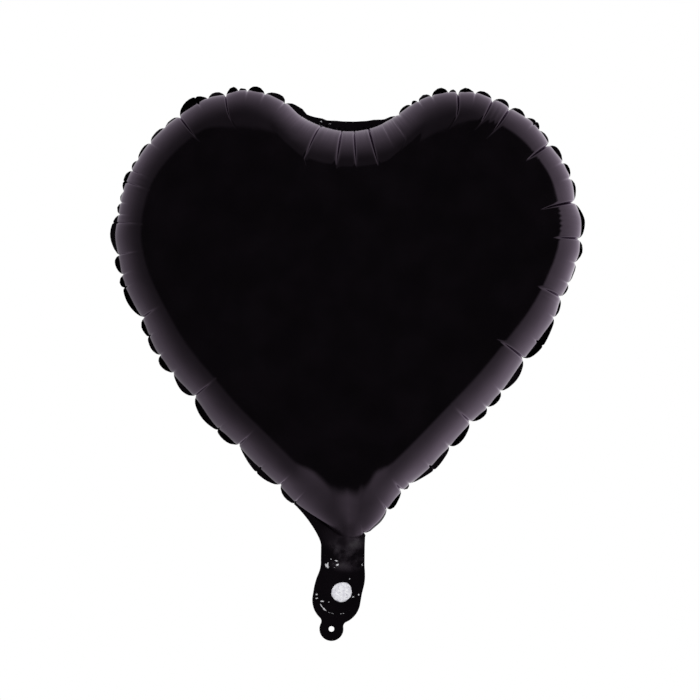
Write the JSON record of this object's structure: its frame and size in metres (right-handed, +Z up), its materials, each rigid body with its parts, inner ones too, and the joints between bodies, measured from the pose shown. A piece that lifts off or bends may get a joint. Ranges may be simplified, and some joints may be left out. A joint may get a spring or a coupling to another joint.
{
  "type": "foil balloon",
  "caption": "Heart-shaped metallised film balloon, blown up, with a puckered sealed rim, a self-sealing valve in its neck and a flat tail with a filling port and a tie tab.",
  "frame": {"origin": "middle of the neck fold, where a ribbon is tied round the neck", "axes": "+Z up through the heart, front panel towards -Y, +X to the right as seen from the front"},
  "size_m": [0.3796, 0.1602, 0.4465],
  "materials": {
    "foil": "glossy black dyed metallised film",
    "seal": "heat-welded film",
    "valve_film": "milky clear polyethylene film",
    "print": "heat-proof print"
  },
  "bodies": {
    "envelope": {"front_film": "foil", "back_film": "foil", "rim_seal": "seal", "sleeve_front": "valve_film", "sleeve_back": "valve_film", "sleeve_welds": "valve_film", "release_print": "print"},
    "tail": {"tail_front_film": "foil", "tail_back_film": "foil", "tail_seal": "seal", "inlet_front": "valve_film", "inlet_back": "valve_film"},
    "tab": {"tab_front_film": "foil", "tab_back_film": "foil", "tab_seal": "seal"}
  },
  "joints": [
    {"name": "neck_fold", "type": "hinge", "parent": "envelope", "child": "tail", "pos_m": [0, 0, 0], "axis": [1, 0, 0], "range_deg": [-120, 120]},
    {"name": "tab_fold", "type": "hinge", "parent": "tail", "child": "tab", "pos_m": [-0.00772, 0, -0.04876], "axis": [0.9877, 0, -0.1564], "range_deg": [-120, 120]}
  ]
}
